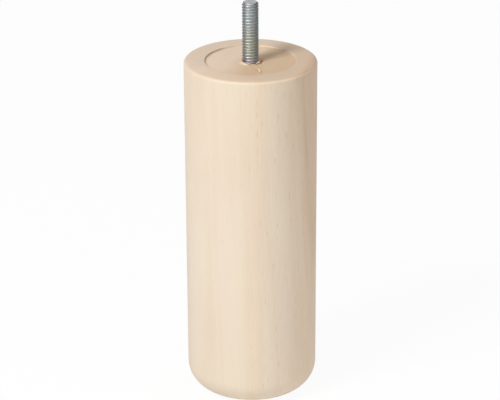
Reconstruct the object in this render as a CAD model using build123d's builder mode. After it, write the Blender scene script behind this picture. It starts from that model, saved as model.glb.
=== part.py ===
from build123d import *
import os
from math import degrees, atan, radians, tan

# A furniture leg: one turned wooden cylinder with a steel hanger bolt screwed into
# its top. The bolt's machine end stands out to screw into the furniture, and its
# wood-screw end is buried in the leg. Millimetres, +Z up along the leg's axis, and
# the origin is the centre of the flat foot face.

# Turned leg
leg_diameter = 63.5
leg_height = 170.0
foot_round = 12.3
top_round = 1.5
recess_diameter = 43.7
recess_depth = 0.8

# Hanger bolt. Its machine end is a 5/16-18 UNC stud, drawn over the crests of the
# thread. Its buried end is drawn at the diameter of the rod that both threads are
# rolled from, which is that of the plain shank between them.
bolt_length = 63.5
stud_diameter = 7.94
stud_standout = 29.7
tip_chamfer = 0.9
rod_diameter = 7.0
point_length = 6.0
point_blunt_diameter = 0.8

# Hole in the leg, a tight fit on the bolt's rod and broken out wider at its mouth
mouth_diameter = 9.0
mouth_depth = 1.6
drill_overrun = 3.0
drill_point_angle = 118.0

leg_radius = leg_diameter / 2
recess_radius = recess_diameter / 2
stud_radius = stud_diameter / 2
rod_radius = rod_diameter / 2
blunt_radius = point_blunt_diameter / 2
mouth_radius = mouth_diameter / 2

# Levels and depths, measured from the recess floor that the stud stands on
floor_z = leg_height - recess_depth
tip_z = floor_z + stud_standout
point_z = tip_z - bolt_length
hole_depth = floor_z - point_z + drill_overrun
drill_point_depth = rod_radius / tan(radians(drill_point_angle / 2))
mouth_angle = 2 * degrees(atan((mouth_radius - rod_radius) / mouth_depth))


# Steel hanger bolt: chamfered tip, machine end, a 45 degree shoulder down to the
# plain rod, and the point of the wood screw
with BuildPart() as hanger_bolt:
    with BuildSketch(Plane.XZ) as bolt_profile:
        with BuildLine():
            Polyline(
                (0, tip_z),
                (stud_radius - tip_chamfer, tip_z),
                (stud_radius, tip_z - tip_chamfer),
                (stud_radius, floor_z),
                (rod_radius, floor_z - (stud_radius - rod_radius)),
                (rod_radius, point_z + point_length),
                (blunt_radius, point_z),
                (0, point_z),
                close=True,
            )
        make_face()
    revolve(axis=Axis.Z)
hanger_bolt.part.label = "hanger_bolt"


# Turned wooden leg: the lathe leaves a large round at the foot, a small one at the
# rim and a shallow recess in the top, and the hole is then drilled in the middle
with BuildPart() as turned_leg:
    with BuildSketch(Plane.XZ) as leg_profile:
        with BuildLine():
            Line((0, 0), (leg_radius - foot_round, 0))
            RadiusArc((leg_radius - foot_round, 0), (leg_radius, foot_round), -foot_round)
            Line((leg_radius, foot_round), (leg_radius, leg_height - top_round))
            RadiusArc(
                (leg_radius, leg_height - top_round),
                (leg_radius - top_round, leg_height),
                -top_round,
            )
            Polyline(
                (leg_radius - top_round, leg_height),
                (recess_radius, leg_height),
                (recess_radius, floor_z),
                (0, floor_z),
                (0, 0),
            )
        make_face()
    revolve(axis=Axis.Z)
    with Locations((0, 0, floor_z)):
        CounterSinkHole(
            radius=rod_radius,
            counter_sink_radius=mouth_radius,
            depth=hole_depth,
            counter_sink_angle=mouth_angle,
        )
    with Locations((0, 0, floor_z - hole_depth)):
        Cone(
            bottom_radius=0,
            top_radius=rod_radius,
            height=drill_point_depth,
            align=(Align.CENTER, Align.CENTER, Align.MAX),
            mode=Mode.SUBTRACT,
        )
turned_leg.part.label = "turned_leg"


os.makedirs("parts", exist_ok=True)
export_step(turned_leg.part, "parts/turned_leg.step")
export_step(hanger_bolt.part, "parts/hanger_bolt.step")
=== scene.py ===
import bmesh
import bpy
import numpy as np
from mathutils import Matrix, Vector


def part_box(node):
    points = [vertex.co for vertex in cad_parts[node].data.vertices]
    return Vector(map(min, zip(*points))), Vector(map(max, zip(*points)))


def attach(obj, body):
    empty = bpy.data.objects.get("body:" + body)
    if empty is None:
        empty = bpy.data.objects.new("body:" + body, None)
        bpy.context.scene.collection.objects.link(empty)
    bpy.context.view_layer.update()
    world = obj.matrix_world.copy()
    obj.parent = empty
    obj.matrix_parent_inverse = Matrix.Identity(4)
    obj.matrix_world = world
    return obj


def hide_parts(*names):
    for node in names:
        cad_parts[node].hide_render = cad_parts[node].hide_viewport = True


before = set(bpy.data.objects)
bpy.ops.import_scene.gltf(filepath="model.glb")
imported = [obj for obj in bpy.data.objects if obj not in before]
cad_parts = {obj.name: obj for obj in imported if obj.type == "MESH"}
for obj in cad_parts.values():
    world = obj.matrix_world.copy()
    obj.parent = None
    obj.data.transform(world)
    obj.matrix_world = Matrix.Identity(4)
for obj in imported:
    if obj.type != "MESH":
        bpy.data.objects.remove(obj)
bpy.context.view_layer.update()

# The camera stands about a metre from the leg and looks down on it through a long
# lens, so that the straight sides draw together only a little towards the foot.
camera_pitch = np.radians(22.9)
camera_roll = np.radians(-0.28)
camera_distance = 1.1096
camera_aim = Vector((-0.00055, 0.0, 0.09776))
camera_data = bpy.data.cameras.new("camera")
camera_data.lens = 164.2
camera_data.sensor_width = 36.0
camera_data.clip_end = 20.0
camera = bpy.data.objects.new("camera", camera_data)
look_down = Matrix.Rotation(np.pi / 2 - camera_pitch, 4, "X")
camera_back = Vector((0.0, -np.cos(camera_pitch), np.sin(camera_pitch)))
camera.matrix_world = (
    Matrix.Translation(camera_aim + camera_back * camera_distance)
    @ look_down
    @ Matrix.Rotation(camera_roll, 4, "Z")
)
bpy.context.scene.collection.objects.link(camera)
bpy.context.scene.camera = camera
bpy.context.scene.view_settings.view_transform = "Standard"


# The leg is one piece of pale beech turned on a lathe: a straight cylinder with a
# large round at the foot, a small one at the rim and a shallow recess in its top.
# The wood round the bolt's hole was torn up when the bolt was driven in.
mm = 0.001
leg_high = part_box("turned_leg")[1]
leg_radius = leg_high.x
leg_top = leg_high.z
foot_round = 12.3 * mm
top_round = 1.5 * mm
recess_radius = 21.85 * mm
recess_depth = 0.8 * mm
recess_break = 0.06 * mm
cove_height = 0.08 * mm
cove_width = 1.3 * mm
sweep_height = 0.42 * mm
sweep_width = 2.6 * mm
recess_floor = leg_top - recess_depth
mouth_radius = 4.12 * mm
mouth_depth = 1.6 * mm
torn_reach = 8.0 * mm
rod_radius = 3.5 * mm
hole_depth = 36.8 * mm
drill_point_depth = 2.1 * mm
leg_around = 320

# Slack for comparing two lengths that ought to be the same
hair = 1e-7
just_over = 1.001
just_under = 0.999


def straight(start, end, count):
    """Rows of (radius, height) evenly spaced from start up to but not including end."""
    share = np.linspace(0, 1, count, endpoint=False)[:, None]
    return np.array(start) + share * (np.array(end) - np.array(start))


def rounding(centre, radius, start_turn, end_turn, count):
    """Rows on a circular arc about centre: (cos, sin) of a turn, times the radius."""
    turn = np.radians(np.linspace(start_turn, end_turn, count, endpoint=False))
    return np.array(centre) + radius * np.stack([np.cos(turn), np.sin(turn)], axis=1)


def leg_outline():
    """The turned outline from the foot's centre, up the side, over the rim, down into
    the recess and the hole, and to the drill's point on the axis. The tool's round nose
    left a cove at the foot of the recess wall: its height falls with the square of the
    distance from the wall."""
    flat_edge = leg_radius - foot_round
    rim_edge = leg_radius - top_round
    broken = recess_radius + recess_break
    rod_top = recess_floor - mouth_depth
    rod_end = recess_floor - hole_depth
    share = np.linspace(0, 1, 8, endpoint=False)
    cove = np.stack([
        recess_radius - cove_width * share,
        recess_floor + cove_height * (1 - share) ** 2,
    ], axis=1)
    return np.concatenate([
        straight((0, 0), (flat_edge, 0), 10),
        rounding((flat_edge, foot_round), foot_round, -90, 0, 28),
        straight((leg_radius, foot_round), (leg_radius, leg_top - top_round), 60),
        rounding((rim_edge, leg_top - top_round), top_round, 0, 90, 10),
        straight((rim_edge, leg_top), (broken, leg_top), 8),
        rounding((broken, leg_top - recess_break), recess_break, 90, 180, 4),
        straight((recess_radius, leg_top - recess_break), cove[0], 3),
        cove,
        straight((recess_radius - cove_width, recess_floor), (torn_reach, recess_floor), 20),
        straight((torn_reach, recess_floor), (mouth_radius, recess_floor), 34),
        straight((mouth_radius, recess_floor), (rod_radius, rod_top), 6),
        straight((rod_radius, rod_top), (rod_radius, rod_end), 16),
        straight((rod_radius, rod_end), (0, rod_end - drill_point_depth), 4),
        [(0, rod_end - drill_point_depth)],
    ])


def ragged(turn, seed, waves):
    """A rough periodic line round the hole, from -1 to 1: a sum of sines of whole
    numbers of waves, each with its own phase and a height that falls with its number."""
    phase = np.random.default_rng(seed).uniform(0, 2 * np.pi, len(waves))
    height = 1 / np.sqrt(np.array(waves, float))
    lines = height * np.sin(np.multiply.outer(turn, waves) + phase)
    return lines.sum(axis=-1) / height.sum()


def arc_share(turn, centre, half_width):
    """1 at one direction round the hole, falling smoothly to 0 half_width degrees away."""
    off = (np.degrees(turn) - centre + 180) % 360 - 180
    return np.cos(np.clip(off / half_width, -1, 1) * np.pi / 2) ** 1.2


def torn_height(radius, turn):
    """How far the torn wood stands above or below the recess floor: a ragged flap close
    to the bolt, highest at the left, and a hollow where a chip is gone at the right. The
    flap is a bell curve across its crest, and the hollow's outer wall is a ramp."""
    flap_width = 0.45 * mm
    ramp_width = 0.9 * mm
    lip = 1.80 * arc_share(turn, 209, 60) + 0.30 * arc_share(turn, 60, 35)
    lip = lip * (0.95 + 0.3 * ragged(turn, 3, [4, 7, 11, 18, 37]))
    crest = 0.45 + 0.15 * ragged(turn, 5, [2, 3, 5, 9]) + 0.9 * arc_share(turn, 255, 45)
    crest = mouth_radius + mm * crest
    lip = lip * np.exp(-(((radius - crest) / flap_width) ** 2))
    far_edge = mouth_radius + mm * (2.2 + 0.6 * ragged(turn, 8, [5, 9, 16, 29]))
    hollow = 0.80 * arc_share(turn, 345, 56) * np.clip((far_edge - radius) / ramp_width, 0, 1)
    rough = 0.05 * ragged(turn, 13, [7, 12, 19, 31]) * np.exp(-(radius - mouth_radius) / mm)
    fade = np.clip((torn_reach - radius) / mm, 0, 1)
    return mm * fade * (lip - hollow + rough)


def grid_faces(rows, around):
    """Quads of a grid that closes on itself round the axis."""
    row, column = np.meshgrid(np.arange(rows - 1), np.arange(around), indexing="ij")
    beside = (column + 1) % around
    quads = [row * around + column, row * around + beside]
    quads += [(row + 1) * around + beside, (row + 1) * around + column]
    return np.stack(quads, axis=-1).reshape(-1, 4)


def mesh_piece(name, points, quads, sharp_degrees):
    """A closed, outward-facing mesh object from grid points and quads: points that
    meet at a pole are merged, and edges sharper than the given angle stay sharp."""
    mesh = bpy.data.meshes.new(name)
    mesh.from_pydata(points.tolist(), [], quads.tolist())
    work = bmesh.new()
    work.from_mesh(mesh)
    bmesh.ops.remove_doubles(work, verts=work.verts, dist=hair)
    bmesh.ops.dissolve_degenerate(work, edges=work.edges, dist=hair / 10)
    bmesh.ops.recalc_face_normals(work, faces=work.faces)
    work.to_mesh(mesh)
    work.free()
    mesh.shade_smooth()
    mesh.set_sharp_from_angle(angle=np.radians(sharp_degrees))
    piece = bpy.data.objects.new(name, mesh)
    bpy.context.scene.collection.objects.link(piece)
    return piece


def leg_points():
    """The outline turned about the axis. At the right the floor sweeps up to the recess
    wall, by a square of the way across its last 2.6 mm, and shortens the wall there.
    Round the mouth the torn wood is added: the floor rises and falls, the mouth's cone
    starts where it ends, and both are pushed outwards at the front left, where the
    mouth gapes beside the bolt."""
    outline = leg_outline()
    turn = np.linspace(0, 2 * np.pi, leg_around, endpoint=False)
    radius = np.repeat(outline[:, :1], leg_around, axis=1)
    height = np.repeat(outline[:, 1:], leg_around, axis=1)
    wall_top = leg_top - recess_break
    up_wall = (wall_top - height) / (wall_top - recess_floor - cove_height)
    across = np.clip((radius - recess_radius + sweep_width) / sweep_width, 0, 1) ** 2
    in_recess = (height > recess_floor - hair) & (radius < recess_radius + hair)
    swept = sweep_height * arc_share(turn, 24, 42) * np.minimum(across, np.clip(up_wall, 0, 1))
    height = height + np.where(in_recess, swept, 0)
    above_cone = height > recess_floor - mouth_depth * just_over
    inside = (radius < torn_reach * just_over) & above_cone
    in_cone = inside & (radius > rod_radius * just_over) & (radius < mouth_radius * just_over)
    on_floor = inside & (radius >= mouth_radius * just_under)
    share = np.clip((radius - rod_radius) / (mouth_radius - rod_radius), 0, 1)
    edge = torn_height(np.full_like(radius, mouth_radius), turn)
    height = height + np.where(in_cone & ~on_floor, share * edge, 0)
    raised = on_floor & (height > recess_floor - hair)
    height = height + np.where(raised, torn_height(radius, turn), 0)
    wander = mm * (0.10 * ragged(turn, 11, [3, 5, 8, 13, 21, 34]) + 0.7 * arc_share(turn, 226, 52))
    gape_width = 1.4 * mm
    near_mouth = np.exp(-(((radius - mouth_radius) / gape_width) ** 2))
    radius = radius + np.where(in_cone | on_floor, wander * near_mouth, 0)
    return np.stack([radius * np.cos(turn), radius * np.sin(turn), height], axis=-1)


leg = mesh_piece(
    "beech_leg",
    leg_points().reshape(-1, 3),
    grid_faces(len(leg_outline()), leg_around),
    35,
)
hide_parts("turned_leg")
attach(leg, "root")


def new_material(name):
    """An empty node material with its output and one Principled shader."""
    material = bpy.data.materials.new(name)
    material.use_nodes = True
    tree = material.node_tree
    tree.nodes.clear()
    output = tree.nodes.new("ShaderNodeOutputMaterial")
    shader = tree.nodes.new("ShaderNodeBsdfPrincipled")
    tree.links.new(shader.outputs["BSDF"], output.inputs["Surface"])
    return material, tree, shader


def connect(tree, value, socket):
    """Links a socket, or sets a plain value."""
    if isinstance(value, bpy.types.NodeSocket):
        tree.links.new(value, socket)
    else:
        socket.default_value = value


def math(tree, operation, first, second=0.0, third=0.0):
    """One Math node: its operation on up to three numbers."""
    node = tree.nodes.new("ShaderNodeMath")
    node.operation = operation
    for value, socket in zip((first, second, third), node.inputs):
        connect(tree, value, socket)
    return node.outputs["Value"]


def distance(tree, x, y):
    """How far a place is from the axis: the root of the sum of two squares."""
    squares = math(tree, "ADD", math(tree, "MULTIPLY", x, x), math(tree, "MULTIPLY", y, y))
    return math(tree, "SQRT", squares)


def scaled(tree, vector, scale):
    """A vector times a vector, axis by axis."""
    node = tree.nodes.new("ShaderNodeVectorMath")
    node.operation = "MULTIPLY"
    connect(tree, vector, node.inputs[0])
    connect(tree, scale, node.inputs[1])
    return node.outputs["Vector"]


def joined(tree, x, y, z):
    """Three numbers as a vector."""
    node = tree.nodes.new("ShaderNodeCombineXYZ")
    for value, socket in zip((x, y, z), node.inputs):
        connect(tree, value, socket)
    return node.outputs["Vector"]


def parts(tree, vector):
    """The x, y and z of a vector."""
    node = tree.nodes.new("ShaderNodeSeparateXYZ")
    connect(tree, vector, node.inputs["Vector"])
    return list(node.outputs)


def noise(tree, vector, detail=2.0):
    """Smooth noise from 0 to 1, one unit of the vector to a lump."""
    node = tree.nodes.new("ShaderNodeTexNoise")
    node.inputs["Scale"].default_value = 1.0
    node.inputs["Detail"].default_value = detail
    node.inputs["Roughness"].default_value = 0.5
    connect(tree, vector, node.inputs["Vector"])
    return node.outputs["Fac"]


def step_between(tree, value, low, high, bottom=0.0, top=1.0):
    """A smooth step: bottom below low, top above high."""
    node = tree.nodes.new("ShaderNodeMapRange")
    node.interpolation_type = "SMOOTHSTEP"
    connect(tree, value, node.inputs["Value"])
    for name, number in (("From Min", low), ("From Max", high), ("To Min", bottom), ("To Max", top)):
        connect(tree, number, node.inputs[name])
    return node.outputs["Result"]


def tinted(tree, share, under, over, blend="MIX"):
    """Two colours mixed by a share, or the second multiplied on to the first."""
    node = tree.nodes.new("ShaderNodeMix")
    node.data_type = "RGBA"
    node.blend_type = blend
    connect(tree, share, node.inputs["Factor"])
    connect(tree, under, node.inputs["A"])
    connect(tree, over, node.inputs["B"])
    return node.outputs["Result"]


def beech():
    """Pale beech, cut from a plank whose heart lay to the left of the leg and a little
    behind. Growth rings are cylinders about that heart, which leans a little against
    the leg, so that they end in long pointed arches at the right. Rays are small flat
    spindles that point at the heart. Both are solid, so the end grain agrees."""
    side_colour = (0.836, 0.720, 0.570, 1)
    end_pale = (0.755, 0.612, 0.474, 1)
    end_warm = (0.630, 0.462, 0.302, 1)
    heart_place = (-0.111, 0.030, 0.0)
    heart_lean = (-0.0078, -0.0290, 0.0)
    middle_from_heart = 0.13
    out_x, out_y = 0.966, -0.259
    ring_width = 1.7 * mm
    ring_wander = 1.6 * mm
    dark_from = 147.85 * mm
    material, tree, shader = new_material("beech")
    coordinates = tree.nodes.new("ShaderNodeTexCoord")
    place = coordinates.outputs["Object"]
    mapping = tree.nodes.new("ShaderNodeMapping")
    mapping.vector_type = "TEXTURE"
    mapping.inputs["Location"].default_value = heart_place
    mapping.inputs["Rotation"].default_value = heart_lean
    tree.links.new(place, mapping.inputs["Vector"])
    x, y, z = parts(tree, mapping.outputs["Vector"])
    from_heart = distance(tree, x, y)
    round_heart = math(tree, "MULTIPLY", math(tree, "ARCTAN2", y, x), middle_from_heart)

    # Rings wander a little, and a darker and redder growth starts near the right side
    wander = noise(tree, scaled(tree, place, (60, 60, 13)), 4.0)
    ring_place = math(tree, "SUBTRACT", from_heart, ring_wander / 2)
    ring_place = math(tree, "MULTIPLY_ADD", wander, ring_wander, ring_place)
    ring = math(tree, "FRACT", math(tree, "DIVIDE", ring_place, ring_width))
    late = step_between(tree, ring, 0.3, 0.93)
    late = math(tree, "MULTIPLY", late, step_between(tree, ring, 0.93, 1.0, 1.0, 0.0))
    red_growth = step_between(tree, ring_place, dark_from - 1.0 * mm, dark_from + 1.6 * mm)
    reddening = step_between(tree, ring_place, dark_from - 9.0 * mm, dark_from + 0.5 * mm)
    patchy = noise(tree, scaled(tree, place, (70, 70, 22)), 2.0)
    ring_share = math(tree, "MULTIPLY_ADD", red_growth, 0.5, 0.08)
    ring_share = math(tree, "MULTIPLY", ring_share, step_between(tree, patchy, 0.35, 0.7, 0.1, 1.3))
    ring_share = math(tree, "MULTIPLY", late, ring_share)
    growth = joined(tree, math(tree, "MULTIPLY", ring_place, 210), 0.0, math(tree, "MULTIPLY", z, 5))
    growth = noise(tree, growth, 1.0)

    # Rays: short dark dashes where the rings face out, and hardly seen where they don't
    normal_x, normal_y, normal_z = parts(tree, coordinates.outputs["Normal"])
    outwards = math(tree, "MULTIPLY_ADD", normal_x, out_x, math(tree, "MULTIPLY", normal_y, out_y))
    outwards = math(
        tree, "ADD",
        step_between(tree, outwards, 0.05, 0.5, 0.25, 1.0),
        step_between(tree, outwards, -0.6, -0.9, 0.0, 0.6),
    )
    ray_place = joined(
        tree,
        math(tree, "MULTIPLY", from_heart, 500),
        math(tree, "MULTIPLY", round_heart, 1500),
        math(tree, "MULTIPLY", z, 150),
    )
    cells = tree.nodes.new("ShaderNodeTexVoronoi")
    cells.inputs["Scale"].default_value = 1.0
    tree.links.new(ray_place, cells.inputs["Vector"])
    chosen = tree.nodes.new("ShaderNodeSeparateColor")
    tree.links.new(cells.outputs["Color"], chosen.inputs["Color"])
    spindle = step_between(tree, cells.outputs["Distance"], 0.14, 0.38, 1.0, 0.0)
    spindle = math(tree, "MULTIPLY", spindle, outwards)
    rays = math(tree, "MULTIPLY", spindle, step_between(tree, chosen.outputs["Red"], 0.5, 1.0))
    pale_rays = math(tree, "MULTIPLY", spindle, step_between(tree, chosen.outputs["Red"], 0.3, 0.0))

    # Fine pores drawn out along the grain, and broad warm and cool streaks
    pores = noise(tree, scaled(tree, place, (1500, 1500, 85)), 3.0)
    pores = step_between(tree, pores, 0.3, 0.75, -1.0, 1.0)
    pores = math(tree, "MULTIPLY", pores, step_between(tree, outwards, 0.2, 1.0, 0.35, 1.0))
    streaks = noise(tree, scaled(tree, place, (110, 110, 8)), 2.0)
    clouds = noise(tree, scaled(tree, place, (45, 45, 16)), 2.0)

    # The top is cut across the grain. Its colour is darker and warmer towards the front right, most of all
    # on the recess floor, and the rim is a little darker than the floor, except at the front left
    end_grain = math(
        tree, "MAXIMUM",
        step_between(tree, normal_z, 0.55, 0.95),
        step_between(tree, normal_z, -0.85, -0.99),
    )
    at_x, at_y, at_z = parts(tree, place)
    to_right = math(tree, "MULTIPLY_ADD", at_y, -0.55, at_x)
    warm = step_between(tree, to_right, -12 * mm, 9 * mm)
    sunk = step_between(tree, at_z, recess_floor + 0.2 * mm, leg_top - 0.2 * mm, 1.0, 0.45)
    end_colour = tinted(tree, math(tree, "MULTIPLY", warm, sunk), end_pale, end_warm)
    front_left = math(tree, "MULTIPLY_ADD", at_x, -0.6, math(tree, "MULTIPLY", at_y, -0.8))
    rim = step_between(tree, at_z, leg_top - 0.4 * mm, leg_top - 0.1 * mm)
    rim = math(tree, "MULTIPLY", rim, step_between(tree, front_left, 27 * mm, 13 * mm))
    end_colour = tinted(tree, rim, end_colour, (0.915, 0.922, 0.93, 1), "MULTIPLY")
    radius = distance(tree, at_x, at_y)
    turned = noise(tree, joined(tree, math(tree, "MULTIPLY", radius, 1400), 0.0, 0.0), 2.0)
    turned = math(tree, "MULTIPLY", math(tree, "SUBTRACT", turned, 0.5), end_grain)
    # Painted shade with the darker colour of torn end grain, in the hollow sunk below the recess floor by
    # the bolt
    hollow_tint_and_shade = step_between(tree, at_z, recess_floor - 0.08 * mm, recess_floor - 0.4 * mm)
    near_bolt = step_between(tree, radius, 7.0 * mm, 6.0 * mm)
    hollow_tint_and_shade = math(tree, "MULTIPLY", hollow_tint_and_shade, near_bolt)
    raised = step_between(tree, at_z, recess_floor + 0.1 * mm, recess_floor + 0.5 * mm)
    raised = math(tree, "MULTIPLY", raised, near_bolt)

    # Painted shade: a dark line at the foot of the recess wall, at the left only, where the wall faces away
    # from the lamp
    across = math(tree, "MULTIPLY_ADD", at_x, -out_x, math(tree, "MULTIPLY", at_y, -out_y))
    painted_wall_shade = step_between(tree, across, 0.66 * recess_radius, 0.92 * recess_radius)
    foot = step_between(tree, radius, recess_radius - 1.8 * mm, recess_radius - 0.1 * mm)
    in_foot = step_between(tree, radius, recess_radius + 0.06 * mm, recess_radius + 0.02 * mm)
    painted_wall_shade = math(tree, "MULTIPLY", painted_wall_shade, math(tree, "MULTIPLY", foot, in_foot))
    painted_wall_shade = math(tree, "MULTIPLY", painted_wall_shade, step_between(tree, normal_z, -0.5, -0.2))

    # The side is a little darker and yellower towards the top. Towards the left, where it faces the lamp, it
    # is darker and cooler: painted shade. Each mark then multiplies its own tint on to the plain colour.
    high = step_between(tree, at_z, 60 * mm, 165 * mm)
    painted_left_shade = step_between(tree, at_x, 4 * mm, -26 * mm)
    colour = tinted(tree, high, side_colour, (0.975, 0.958, 0.942, 1), "MULTIPLY")
    colour = tinted(tree, painted_left_shade, colour, (0.932, 0.936, 0.948, 1), "MULTIPLY")
    colour = tinted(tree, end_grain, colour, end_colour)
    marks = [
        (ring_share, (0.90, 0.85, 0.80, 1)),
        (reddening, (1.0, 0.970, 0.945, 1)),
        (red_growth, (0.91, 0.86, 0.83, 1)),
        (step_between(tree, growth, 0.42, 0.62), (0.989, 0.986, 0.974, 1)),
        (step_between(tree, streaks, 0.4, 0.7), (1.0, 0.965, 0.935, 1)),
        (step_between(tree, clouds, 0.35, 0.7), (0.985, 0.965, 0.975, 1)),
        (rays, (0.905, 0.86, 0.81, 1)),
        (hollow_tint_and_shade, (0.88, 0.74, 0.56, 1)),
        (raised, (0.86, 0.80, 0.76, 1)),
        (painted_wall_shade, (0.80, 0.76, 0.72, 1)),
    ]
    for share, tint in marks:
        colour = tinted(tree, share, colour, tint, "MULTIPLY")
    shade = math(tree, "MULTIPLY_ADD", pores, 0.018, 0.988)
    shade = math(tree, "MULTIPLY_ADD", pale_rays, 0.05, shade)
    shade = math(tree, "MULTIPLY_ADD", turned, 0.10, shade)
    colour = tinted(tree, 1.0, colour, joined(tree, shade, shade, shade), "MULTIPLY")
    tree.links.new(colour, shader.inputs["Base Color"])
    shader.inputs["Roughness"].default_value = 0.55
    shader.inputs["Specular IOR Level"].default_value = 0.25

    # The rays and pores are sunk, and the tool left fine rings on the turned top
    depth = math(tree, "MULTIPLY", rays, -0.05 * mm)
    depth = math(tree, "MULTIPLY_ADD", pores, 0.004 * mm, depth)
    depth = math(tree, "MULTIPLY_ADD", turned, 0.03 * mm, depth)
    bump = tree.nodes.new("ShaderNodeBump")
    bump.inputs["Strength"].default_value = 0.6
    bump.inputs["Distance"].default_value = 1.0
    tree.links.new(depth, bump.inputs["Height"])
    tree.links.new(bump.outputs["Normal"], shader.inputs["Normal"])
    return material


leg.data.materials.append(beech())


# The bolt's thread tore fibres of the leg's own wood up round the hole, and one long
# shaving was pulled out over the recess floor towards the front. They still hang on
# by one end.
def slivers(roots, tips, rise, width, bend, seed):
    """Thin tapered strips of wood as one mesh. Each runs from its root to its tip on a
    bowed path: a straight line, plus a sideways bend and a rise that both follow a
    half sine. A flattened oval of eight points is carried along it, widest at a third
    of its length, and closes at both ends."""
    roots, tips = np.array(roots) * mm, np.array(tips) * mm
    rise, width, bend = (np.array(value)[:, None] * mm for value in (rise, width, bend))
    rows, sides = 14, 8
    thickness = 0.45
    along = np.linspace(0, 1, rows)[None, :]
    line = roots[:, None, :] + along[..., None] * (tips - roots)[:, None, :]
    ahead = (tips - roots)[:, :2]
    ahead = ahead / np.linalg.norm(ahead, axis=1, keepdims=True)
    aside = np.stack([-ahead[:, 1], ahead[:, 0]], axis=1)
    bow = np.sin(np.pi * along)
    wobble = np.random.default_rng(seed).normal(0, 0.06, (len(roots), rows)) * width
    line[..., :2] += (bend * bow + wobble)[..., None] * aside[:, None, :]
    line[..., 2] += rise * bow
    taper = np.sin(np.pi * along ** 0.7) ** 0.6 * 0.5 * width
    round_turn = np.linspace(0, 2 * np.pi, sides, endpoint=False)
    flat, thick = np.cos(round_turn), thickness * np.sin(round_turn)
    sideways = np.append(aside, np.zeros((len(roots), 1)), axis=-1)[:, None, None, :]
    points = line[:, :, None, :] + taper[..., None, None] * flat[:, None] * sideways
    points[..., 2] += taper[..., None] * thick
    offsets = np.arange(len(roots))[:, None, None] * rows * sides
    quads = grid_faces(rows, sides)[None, :, :] + offsets
    return points.reshape(-1, 3), quads.reshape(-1, 4)


floor_mm = recess_floor / mm
sliver_points, sliver_quads = slivers(
    roots=[
        (4.6, -16.9, floor_mm + 0.2), (2.9, -10.8, floor_mm + 0.1), (2.3, -4.3, floor_mm - 0.1),
        (3.1, -3.9, floor_mm - 0.2), (3.9, -3.0, floor_mm - 0.3), (3.7, 2.6, floor_mm),
        (-4.9, 1.4, floor_mm + 0.1), (-5.6, -1.0, floor_mm + 0.3), (-4.9, -3.6, floor_mm + 0.2),
    ],
    tips=[
        (2.7, -10.3, floor_mm + 0.1), (1.7, -6.0, floor_mm), (4.2, -2.6, floor_mm + 0.8),
        (4.6, -3.4, floor_mm + 0.5), (4.6, -1.3, floor_mm + 0.9), (5.0, 3.6, floor_mm + 0.5),
        (-5.2, 3.3, floor_mm + 0.6), (-5.7, -2.6, floor_mm + 0.9), (-5.8, -4.6, floor_mm + 0.2),
    ],
    rise=[0.45, 0.15, 0.35, 0.3, 0.3, 0.25, 0.2, 0.2, 0.15],
    width=[1.0, 0.3, 0.5, 0.4, 0.5, 0.35, 0.35, 0.4, 0.3],
    bend=[-0.3, 0.15, -0.25, 0.2, 0.25, 0.25, -0.2, 0.2, 0.15],
    seed=21,
)
torn_fibres = mesh_piece("torn_fibres", sliver_points, sliver_quads, 60)
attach(torn_fibres, "root")


def fresh_wood():
    """Wood torn along the grain: paler and yellower than the turned face, with fine
    lengthwise fibres, and a little ragged in its shine."""
    material, tree, shader = new_material("torn_wood")
    place = tree.nodes.new("ShaderNodeTexCoord").outputs["Object"]
    fibres = noise(tree, scaled(tree, place, (2500, 700, 1200)), 3.0)
    colour = tinted(tree, step_between(tree, fibres, 0.3, 0.7), (0.80, 0.66, 0.48, 1), (0.72, 0.56, 0.37, 1))
    tree.links.new(colour, shader.inputs["Base Color"])
    tree.links.new(step_between(tree, fibres, 0.2, 0.8, 0.55, 0.75), shader.inputs["Roughness"])
    return material


torn_fibres.data.materials.append(fresh_wood())


# The hanger bolt is zinc-plated steel with two threads rolled on one rod: a fine
# machine thread on the end that stands out, and a coarse wood-screw thread on the
# pointed end that is driven into the leg, with a plain shank between them.
bolt_low, bolt_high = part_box("hanger_bolt")
tip_height = bolt_high.z
point_height = bolt_low.z
stud_radius = bolt_high.x
tip_chamfer = 0.9 * mm
inch = 25.4 * mm
machine_pitch = inch / 18
machine_depth = 0.6134 * machine_pitch
machine_root = stud_radius - machine_depth
machine_run_out = 0.4 * mm
screw_pitch = inch / 9
screw_root = 2.9 * mm
screw_crest = 3.97 * mm
screw_run_out = 2.0 * mm
point_length = 6.0 * mm
point_blunt = 0.4 * mm
shank_top = recess_floor - 0.6 * mm
shank_bottom = recess_floor - 5.0 * mm
rows_per_turn = 16
shank_rows = 24
bolt_around = 72
cap_rows = 6


def bolt_levels():
    """Knots of the height along the bolt against the row count, from the point to the
    tip. Rows climb one thread pitch in each turn, so a thread's crest is one row."""
    start = rows_per_turn
    screw_top = start + cap_rows + rows_per_turn * (shank_bottom - point_height) / screw_pitch
    shank_end = screw_top + shank_rows
    tip = shank_end + rows_per_turn * (tip_height - shank_top) / machine_pitch
    rows = [0, start, start + cap_rows, screw_top, shank_end, tip, tip + cap_rows]
    heights = [point_height] * 3 + [shank_bottom, shank_top] + [tip_height] * 2
    return np.array(rows), np.array(heights)


def ridge(phase, crest_half, root_from):
    """A rolled thread's height from 0 to 1 against its phase in turns: round on the
    crest, steep down the flank and round in the root, on a smooth step's curve."""
    off = np.abs((phase + 0.5) % 1 - 0.5)
    share = np.clip((root_from - off) / (root_from - crest_half), 0, 1)
    return share * share * (3 - 2 * share)


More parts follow.
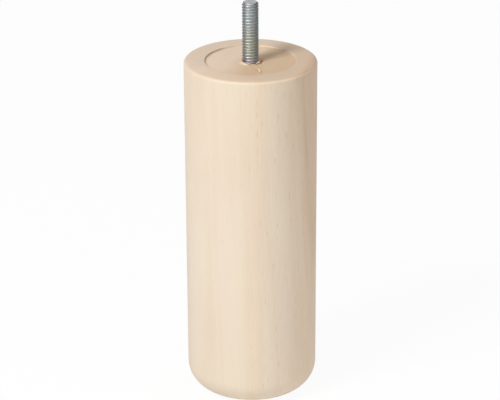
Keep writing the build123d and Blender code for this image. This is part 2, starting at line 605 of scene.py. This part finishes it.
def bolt_points():
    """Each vertex has a turn and a row. The row count plus the turn's share of one
    pitch gives the height, and the row alone gives the phase in the thread."""
    knots, heights = bolt_levels()
    last = int(np.ceil(knots[-1])) + 1
    row = np.arange(last + 1)[:, None]
    turn = np.arange(bolt_around)[None, :] / bolt_around
    count = row + rows_per_turn * turn
    height = np.interp(count, knots, heights)
    phase = row / rows_per_turn
    machine_share = ridge(phase, crest_half=0.0, root_from=0.46)
    machine = machine_root + (stud_radius - machine_root) * machine_share
    run_out = np.clip((height - shank_top) / machine_run_out, 0, 1)
    machine = rod_radius + (machine - rod_radius) * run_out
    screw_phase = (count - knots[3]) / rows_per_turn - turn
    screw_share = ridge(screw_phase, crest_half=0.05, root_from=0.27)
    fade = np.clip((shank_bottom - height) / screw_run_out, 0, 1)
    core = rod_radius + (screw_root - rod_radius) * np.clip(fade * 2, 0, 1)
    screw = core + (screw_crest - core) * screw_share * fade
    shank = np.full_like(height, rod_radius)
    radius = np.where(height > shank_top, machine, np.where(height < shank_bottom, screw, shank))
    tip_cone = stud_radius - tip_chamfer + (tip_height - height)
    point_cone = point_blunt + (height - point_height) * (screw_crest - point_blunt) / point_length
    radius = np.minimum(radius, np.minimum(tip_cone, point_cone))
    tip_cap = np.clip((knots[-1] - count) / cap_rows, 0, 1)
    point_cap = np.clip((count - knots[1]) / cap_rows, 0, 1)
    radius = radius * tip_cap * point_cap
    angle = 2 * np.pi * np.broadcast_to(turn, radius.shape)
    return np.stack([radius * np.cos(angle), radius * np.sin(angle), height], axis=-1)


def bolt_faces(rows):
    """Quads of the bolt's grid. Past the last column a row joins the first column one
    pitch further up, because the rows climb as they go round."""
    row, column = np.meshgrid(np.arange(rows - 1), np.arange(bolt_around), indexing="ij")
    wraps = column == bolt_around - 1
    beside = np.where(wraps, 0, column + 1)
    lift = np.where(wraps, rows_per_turn, 0)
    low = np.minimum(row + lift, rows - 1)
    high = np.minimum(row + 1 + lift, rows - 1)
    quads = [row * bolt_around + column, low * bolt_around + beside]
    quads += [high * bolt_around + beside, (row + 1) * bolt_around + column]
    return np.stack(quads, axis=-1).reshape(-1, 4)


points = bolt_points()
bolt = mesh_piece("threaded_bolt", points.reshape(-1, 3), bolt_faces(len(points)), 40)
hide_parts("hanger_bolt")
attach(bolt, "root")


def zinc_plate():
    """Bright zinc: grey steel with a blue cast near the tip that turns greener lower down and a little
    violet by the wood, and fine scratches that run round the bolt as the thread was rolled. The flat end was
    never rolled; its colour is raised almost to white, a painted highlight on the end that faces the light.
    A near-black tint on reflections seen edge on paints shade on the stud's edges."""
    material, tree, shader = new_material("zinc_plate")
    place = tree.nodes.new("ShaderNodeTexCoord").outputs["Object"]
    at_z = parts(tree, place)[2]
    cast_wander = 14 * mm
    cast = noise(tree, scaled(tree, place, (260, 260, 120)), 2.0)
    uneven = math(tree, "SUBTRACT", at_z, cast_wander / 2)
    uneven = math(tree, "MULTIPLY_ADD", cast, cast_wander, uneven)
    green = step_between(tree, uneven, recess_floor + 20 * mm, recess_floor + 11 * mm)
    violet = step_between(tree, uneven, recess_floor + 6 * mm, recess_floor + 2 * mm)
    rolled = noise(tree, scaled(tree, place, (900, 900, 9000)), 3.0)
    colour = tinted(tree, green, (0.485, 0.515, 0.520, 1), (0.490, 0.508, 0.450, 1))
    colour = tinted(tree, violet, colour, (0.500, 0.480, 0.480, 1))
    # Painted highlight: the flat end's colour is raised almost to white
    end_highlight = step_between(tree, at_z, tip_height - 0.1 * mm, tip_height - 0.02 * mm)
    colour = tinted(tree, end_highlight, colour, (0.97, 0.98, 0.97, 1))
    tree.links.new(colour, shader.inputs["Base Color"])
    shader.inputs["Metallic"].default_value = 1.0
    # Painted shade: a near-black tint darkens the reflections seen edge on, so the stud's edges are dark
    shader.inputs["Specular Tint"].default_value = (0.04, 0.04, 0.04, 1)
    tree.links.new(step_between(tree, rolled, 0.2, 0.8, 0.42, 0.54), shader.inputs["Roughness"])
    return material


bolt.data.materials.append(zinc_plate())


# A plain white floor and backdrop, one soft lamp high at the front left, and soft
# light from all round that is strongest from above and the right.
def seen_directly(tree, path):
    """1 for the camera's own rays, and for those it sees mirrored or through glass."""
    direct = math(tree, "MAXIMUM", path.outputs["Is Camera Ray"], path.outputs["Is Glossy Ray"])
    return math(tree, "MAXIMUM", direct, path.outputs["Is Transmission Ray"])


def plain_white():
    """White to the camera and in reflections, with the leg's shadow kept faint on it,
    and plain white paint to every other ray."""
    glow_share = 0.93
    material, tree, shader = new_material("white_floor")
    shader.inputs["Base Color"].default_value = (0.90, 0.90, 0.90, 1)
    shader.inputs["Roughness"].default_value = 0.9
    shader.inputs["Specular IOR Level"].default_value = 0.0
    glow = tree.nodes.new("ShaderNodeEmission")
    glow.inputs["Strength"].default_value = 1.0
    direct = seen_directly(tree, tree.nodes.new("ShaderNodeLightPath"))
    mix = tree.nodes.new("ShaderNodeMixShader")
    tree.links.new(math(tree, "MULTIPLY", direct, glow_share), mix.inputs["Fac"])
    tree.links.new(shader.outputs["BSDF"], mix.inputs[1])
    tree.links.new(glow.outputs["Emission"], mix.inputs[2])
    tree.links.new(mix.outputs["Shader"], tree.nodes["Material Output"].inputs["Surface"])
    return material


floor_half = 4.0
floor_mesh = bpy.data.meshes.new("floor")
floor_mesh.from_pydata(
    [(x * floor_half, y * floor_half, 0.0) for x, y in ((-1, -1), (1, -1), (1, 1), (-1, 1))],
    [],
    [(0, 1, 2, 3)],
)
floor = bpy.data.objects.new("floor", floor_mesh)
floor_mesh.materials.append(plain_white())
bpy.context.scene.collection.objects.link(floor)


def soft_lamp(name, azimuth, elevation, far, size, watts):
    """A square area lamp aimed at the leg's middle. Azimuth is counted from the camera's
    side, positive to the right."""
    data = bpy.data.lights.new(name, "AREA")
    data.size = size
    data.energy = watts
    lamp = bpy.data.objects.new(name, data)
    side, up = np.radians(azimuth), np.radians(elevation)
    away = Vector((np.sin(side) * np.cos(up), -np.cos(side) * np.cos(up), np.sin(up)))
    lamp.location = Vector((0, 0, leg_top / 2)) + away * far
    lamp.rotation_mode = "QUATERNION"
    lamp.rotation_quaternion = away.to_track_quat("Z", "Y")
    bpy.context.scene.collection.objects.link(lamp)


soft_lamp("key_lamp", azimuth=-47.5, elevation=46, far=1.3, size=0.40, watts=11.0)


def glow_from(tree, direction, darkest, brightest, brightest_from, start, end):
    """Brightness that grows smoothly as a direction turns towards the brightest one. It
    starts to grow and stops at two cosines of the angle between them."""
    facing = tree.nodes.new("ShaderNodeVectorMath")
    facing.operation = "DOT_PRODUCT"
    tree.links.new(direction, facing.inputs[0])
    facing.inputs[1].default_value = Vector(brightest_from).normalized()
    return step_between(tree, facing.outputs["Value"], start, end, darkest, brightest)


def surround():
    """Soft light from all round, strongest from above and the right. Steel mirrors a room
    that is brightest behind the camera. Low down, past the floor's edge, and higher up
    behind the leg, the camera and reflections both see a white backdrop."""
    world = bpy.data.worlds.new("surround")
    world.use_nodes = True
    tree = world.node_tree
    background = tree.nodes["Background"]
    direction = tree.nodes.new("ShaderNodeTexCoord").outputs["Generated"]
    light = glow_from(
        tree, direction,
        darkest=0.08, brightest=0.66, brightest_from=(0.64, -0.38, 0.67), start=-0.9, end=0.9,
    )
    mirrored = glow_from(
        tree, direction,
        darkest=0.02, brightest=1.6, brightest_from=(-0.10, -0.95, 0.30), start=0.0, end=1.0,
    )
    path = tree.nodes.new("ShaderNodeLightPath")
    upper = tree.nodes.new("ShaderNodeMix")
    tree.links.new(path.outputs["Is Glossy Ray"], upper.inputs["Factor"])
    tree.links.new(light, upper.inputs["A"])
    tree.links.new(mirrored, upper.inputs["B"])
    back, above = parts(tree, direction)[1:]
    behind = step_between(tree, back, 0.55, 0.8)
    behind = math(tree, "MULTIPLY", behind, step_between(tree, above, 0.65, 0.55))
    backdrop = math(tree, "MAXIMUM", behind, step_between(tree, above, 0.35, 0.15))
    backdrop = math(tree, "MULTIPLY", seen_directly(tree, path), backdrop)
    strength = tree.nodes.new("ShaderNodeMix")
    tree.links.new(backdrop, strength.inputs["Factor"])
    tree.links.new(upper.outputs["Result"], strength.inputs["A"])
    strength.inputs["B"].default_value = 1.0
    tree.links.new(strength.outputs["Result"], background.inputs["Strength"])
    background.inputs["Color"].default_value = (1, 1, 1, 1)
    bpy.context.scene.world = world


surround()
